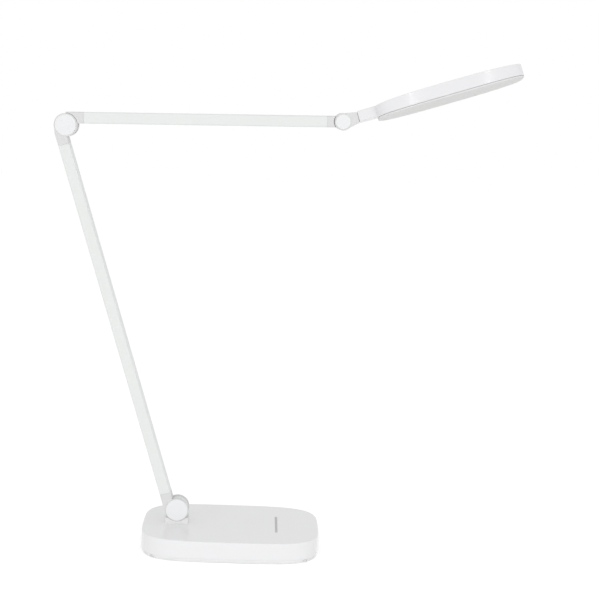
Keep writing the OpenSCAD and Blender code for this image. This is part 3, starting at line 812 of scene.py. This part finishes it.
class LAMP_OT_arms(bpy.types.Operator):
    """Finishes for the arm tubes, the hinge fittings and the parts within them"""

    bl_idname = "lamp.arms"
    bl_label = "Arms and fittings"

    def execute(self, context):
        edge = sizes().fitting_edge
        dress("lower_arm_tube", "white_tube", 0.1 * MM)
        dress("upper_arm_tube", "white_tube_upper", 0.1 * MM)
        for node in ("base_fork", "elbow_fork", "elbow_knuckle", "head_knuckle",
                     "neck_fork"):
            dress(node, "grey_fitting", edge)
        for hinge in ("base_hinge", "elbow", "head_hinge"):
            for part in ("screw", "nut", "washers"):
                dress(f"{hinge}_{part}", "steel", 0.12 * MM)
        for node in ("lower_arm_screws", "upper_arm_screws", "swivel_clip"):
            dress(node, "steel", 0.1 * MM)
        for node in ("lower_arm_lead", "upper_arm_lead"):
            dress(node, "lead_copper")
        return {"FINISHED"}


def head_place():
    """Frame of the head pad: X along the pad, Y across it, Z up from the light."""
    hinge = Vector(JOINTS["head_tilt"]["pos_m"])
    along = Vector(JOINTS["head_swivel"]["axis"]).normalized()
    across = Vector((0, 1, 0))
    up = along.cross(across)
    turn = Matrix.Rotation(-sizes().head_turn, 4, along)
    place = Matrix((
        (along.x, across.x, up.x, 0), (along.y, across.y, up.y, 0),
        (along.z, across.z, up.z, 0), (0, 0, 0, 1)))
    return Matrix.Translation(hinge) @ turn @ place


def pad_ring(inset, height, crown, squeeze=1.0):
    """Ring of the pad's outline, its height bowed along the pad by the crown."""
    s = sizes()
    a, b = s.pad_length / 2, s.pad_width / 2
    middle = s.pad_start + a
    points = squircle((a - inset) * squeeze, (b - inset) * squeeze, s.pad_squareness,
                      OUTLINE_STEPS)
    return [Vector((middle + p.x, p.y, height + crown * (p.x / a) ** 2)) for p in points]


def place_head(obj):
    obj.data.transform(head_place())


class LAMP_OT_head_shell(bpy.types.Operator):
    """Head shell with its crowned top, soft edges and flared neck"""

    bl_idname = "lamp.head_shell"
    bl_label = "Head shell"

    def execute(self, context):
        s = sizes()
        rings = [pad_ring(PAD_LIP, LOW, LOW_CROWN), pad_ring(0, LOW + PAD_LIP, LOW_CROWN)]
        rings += [pad_ring(inset, TOP - drop, -TOP_CROWN)
                  for inset, drop in quarter(s.pad_edge, 6)]
        rings += [pad_ring(s.pad_edge, TOP, -TOP_CROWN, f)
                  for f in (0.95, 0.85, 0.7, 0.55, 0.4, 0.25, 0.1)]
        shell = loft("head_shell_skin", rings, "white_shell")
        neck = loft("neck", [
            self.neck_ring(NECK_START, NECK_HALF_HEIGHT - NECK_EDGE,
                           NECK_HALF_DEPTH - NECK_EDGE),
            self.neck_ring(NECK_START + NECK_EDGE, NECK_HALF_HEIGHT, NECK_HALF_DEPTH),
            self.neck_ring(s.pad_start + NECK_PAST_PAD, NECK_FLARED_HALF_HEIGHT,
                           NECK_HALF_DEPTH)])
        combine(shell, neck, "UNION")
        hollow = [pad_ring(PAD_WALL, LOW - 4 * MM, LOW_CROWN)]
        hollow += [pad_ring(PAD_WALL, TOP - PAD_WALL, -TOP_CROWN, f)
                   for f in (1.0, 0.8, 0.5, 0.2)]
        combine(shell, loft("hollow", hollow), "DIFFERENCE")
        for radius, start, end in (
                (SLEEVE_BORE_R, NECK_START - 1 * MM, s.pad_start),
                (CHAMBER_R, CHAMBER_START, s.pad_start + CHAMBER_PAST_PAD)):
            bore = rod("bore", radius, Vector((start, 0, 0)), Vector((end, 0, 0)))
            combine(shell, bore, "DIFFERENCE")
        place_head(shell)
        soften(shell, weld=False)
        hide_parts("head_shell")
        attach(shell, "head")
        return {"FINISHED"}

    def neck_ring(self, x, half_h, half_t, steps=8):
        r = NECK_CORNER
        points = []
        for cy, cz, start in ((1, 1, 0), (-1, 1, 90), (-1, -1, 180), (1, -1, 270)):
            for i in range(steps + 1):
                t = math.radians(start + 90 * i / steps)
                points.append(Vector((x, cy * (half_t - r) + r * math.cos(t),
                                      cz * (half_h - r) + r * math.sin(t))))
        return points


class LAMP_OT_diffuser(bpy.types.Operator):
    """Frosted diffuser with its rounded rim"""

    bl_idname = "lamp.diffuser"
    bl_label = "Diffuser"

    def execute(self, context):
        top = LOW - SEAM_GAP
        under = top - LENS_THICK
        inner = RIM_INSET + RIM_WALL
        rings = [pad_ring(inner, top, LOW_CROWN, f) for f in (0.05, 0.4, 0.75, 1.0)]
        rings += [pad_ring(inner, LOW + RIM_HEIGHT, LOW_CROWN),
                  pad_ring(RIM_INSET, LOW + RIM_HEIGHT, LOW_CROWN),
                  pad_ring(RIM_INSET, top, LOW_CROWN),
                  pad_ring(LENS_INSET, top, LOW_CROWN)]
        rings += [pad_ring(LENS_INSET + inset, under + drop, LOW_CROWN)
                  for inset, drop in quarter(LENS_EDGE, 5)]
        rings += [pad_ring(LENS_INSET + LENS_EDGE, under, LOW_CROWN, f)
                  for f in (0.92, 0.75, 0.5, 0.25, 0.05)]
        lens = loft("diffuser_lens", rings, "diffuser_frost")
        place_head(lens)
        soften(lens, weld=False)
        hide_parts("diffuser")
        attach(lens, "head")
        return {"FINISHED"}


class LAMP_OT_head_parts(bpy.types.Operator):
    """Finishes for the parts inside the head"""

    bl_idname = "lamp.head_parts"
    bl_label = "Parts of the head"

    def execute(self, context):
        dress("heat_plate", "bare_aluminium", 0.1 * MM)
        dress("led_board", "led_board_white", 0.05 * MM)
        dress("led_chips", "led_yellow", 0.08 * MM)
        dress("reflector_frame", "reflector_white", 0.3 * MM)
        dress("head_screws", "steel", 0.1 * MM)
        dress("head_lead", "lead_copper")
        return {"FINISHED"}


class LAMP_OT_studio(bpy.types.Operator):
    """Pale floor, white surround, key lights, strip lights, a low fill and the camera"""

    bl_idname = "lamp.studio"
    bl_label = "Studio"

    def execute(self, context):
        studio = context.scene.desk_lamp_studio
        self.floor(studio)
        self.surround(context.scene, studio)
        for name, x in KEY_PLACES:
            key = self.light(context.scene, name, Vector((x, KEY_Y, KEY_Z)), KEY_SIZE,
                             studio.key)
            key.visible_glossy = False
        fill = self.light(context.scene, "fill_low", FILL_AT, FILL_SIZE, studio.fill,
                          BASE_MIDDLE)
        fill.visible_glossy = fill.visible_camera = False
        for name, x in STRIP_PLACES:
            self.light(context.scene, name, Vector((x, STRIP_Y, STRIP_Z)), STRIP_SIZE,
                       studio.strips)
        self.camera(context.scene, studio)
        context.scene.view_settings.view_transform = "Standard"
        return {"FINISHED"}

    def floor(self, studio):
        material = bpy.data.materials.new("studio_floor")
        material.use_nodes = True
        tree = material.node_tree
        tree.nodes.clear()
        out = tree.nodes.new("ShaderNodeOutputMaterial")
        paper = tree.nodes.new("ShaderNodeBsdfDiffuse")
        grain = tree.nodes.new("ShaderNodeTexNoise")
        grain.inputs["Scale"].default_value = 30
        ramp = tree.nodes.new("ShaderNodeValToRGB")
        shade = tuple(c * 0.995 for c in studio.floor)
        ramp.color_ramp.elements[0].color = (*shade, 1)
        ramp.color_ramp.elements[1].color = (*studio.floor, 1)
        glow = tree.nodes.new("ShaderNodeEmission")
        add = tree.nodes.new("ShaderNodeAddShader")
        seen = self.seen_by_eye(tree)
        power = tree.nodes.new("ShaderNodeMath")
        power.operation = "MULTIPLY"
        power.inputs[1].default_value = studio.floor_glow
        link = tree.links.new
        link(grain.outputs["Fac"], ramp.inputs["Fac"])
        link(ramp.outputs["Color"], paper.inputs["Color"])
        link(seen, power.inputs[0])
        link(power.outputs[0], glow.inputs["Strength"])
        link(paper.outputs[0], add.inputs[0])
        link(glow.outputs[0], add.inputs[1])
        link(add.outputs[0], out.inputs["Surface"])
        half = FLOOR_HALF
        floor = new_piece("studio_floor", [(-half, -half, 0), (half, -half, 0),
                                           (half, half, 0), (-half, half, 0)],
                          [(0, 1, 2, 3)])
        floor.location.z = -FLOOR_DROP
        paint(floor, material)

    def seen_by_eye(self, tree):
        """1 for camera, glossy and transmitted rays, else 0."""
        path = tree.nodes.new("ShaderNodeLightPath")
        total = path.outputs["Is Camera Ray"]
        for name in ("Is Glossy Ray", "Is Transmission Ray"):
            join = tree.nodes.new("ShaderNodeMath")
            join.operation = "MAXIMUM"
            tree.links.new(total, join.inputs[0])
            tree.links.new(path.outputs[name], join.inputs[1])
            total = join.outputs[0]
        return total

    def surround(self, scene, studio):
        world = bpy.data.worlds.new("studio_surround")
        scene.world = world
        world.use_nodes = True
        tree = world.node_tree
        background = tree.nodes["Background"]
        background.inputs["Color"].default_value = (1, 1, 1, 1)
        span = tree.nodes.new("ShaderNodeMapRange")
        span.inputs["To Min"].default_value = studio.sky
        span.inputs["To Max"].default_value = 1.0
        tree.links.new(self.seen_by_eye(tree), span.inputs["Value"])
        tree.links.new(span.outputs["Result"], background.inputs["Strength"])

    def light(self, scene, name, at, size, power, target=LAMP_MIDDLE):
        light = bpy.data.lights.new(name, "AREA")
        light.shape = "RECTANGLE"
        light.size, light.size_y = size
        light.energy = power
        lamp = bpy.data.objects.new(name, light)
        scene.collection.objects.link(lamp)
        lamp.location = at
        aim = target - at
        lamp.rotation_euler = aim.to_track_quat("-Z", "Y").to_euler()
        return lamp

    def camera(self, scene, studio):
        data = bpy.data.cameras.new("camera")
        data.lens = studio.lens
        data.sensor_width = 36
        data.clip_start, data.clip_end = 0.05, 20
        camera = bpy.data.objects.new("camera", data)
        scene.collection.objects.link(camera)
        yaw, pitch, roll = CAMERA_YAW, CAMERA_PITCH, CAMERA_ROLL
        ahead = Vector((math.sin(yaw) * math.cos(pitch), math.cos(yaw) * math.cos(pitch),
                        -math.sin(pitch)))
        right = Vector((math.cos(yaw), -math.sin(yaw), 0))
        up = right.cross(ahead)
        right_r = math.cos(roll) * right + math.sin(roll) * up
        up_r = -math.sin(roll) * right + math.cos(roll) * up
        turn = Matrix((right_r, up_r, -ahead)).transposed()
        camera.matrix_world = Matrix.Translation(CAMERA_AT) @ turn.to_4x4()
        scene.camera = camera


class LAMP_PT_panel(bpy.types.Panel):
    """Buttons for each part of the lamp"""

    bl_idname = "LAMP_PT_panel"
    bl_label = "Desk Lamp"
    bl_space_type = "VIEW_3D"
    bl_region_type = "UI"
    bl_category = "Desk Lamp"

    def draw(self, context):
        for group in ("desk_lamp_sizes", "desk_lamp_colours", "desk_lamp_studio"):
            box = self.layout.box()
            settings = getattr(context.scene, group)
            for key in settings.bl_rna.properties.keys():
                if key not in ("rna_type", "name"):
                    box.prop(settings, key)
        for operator in OPERATORS:
            self.layout.operator(operator.bl_idname)


OPERATORS = (
    LAMP_OT_base_cover, LAMP_OT_base_parts, LAMP_OT_touch_marks, LAMP_OT_hinge_caps,
    LAMP_OT_arms, LAMP_OT_head_shell, LAMP_OT_diffuser, LAMP_OT_head_parts,
    LAMP_OT_studio,
)
CLASSES = (LampSizes, LampColours, LampStudio, *OPERATORS, LAMP_PT_panel)


def register():
    for cls in CLASSES:
        bpy.utils.register_class(cls)
    bpy.types.Scene.desk_lamp_sizes = PointerProperty(type=LampSizes)
    bpy.types.Scene.desk_lamp_colours = PointerProperty(type=LampColours)
    bpy.types.Scene.desk_lamp_studio = PointerProperty(type=LampStudio)


def unregister():
    del bpy.types.Scene.desk_lamp_studio
    del bpy.types.Scene.desk_lamp_colours
    del bpy.types.Scene.desk_lamp_sizes
    for cls in reversed(CLASSES):
        bpy.utils.unregister_class(cls)


def main():
    register()
    for operator in OPERATORS:
        group, name = operator.bl_idname.split(".")
        getattr(getattr(bpy.ops, group), name)()


if __name__ == "__main__":
    main()
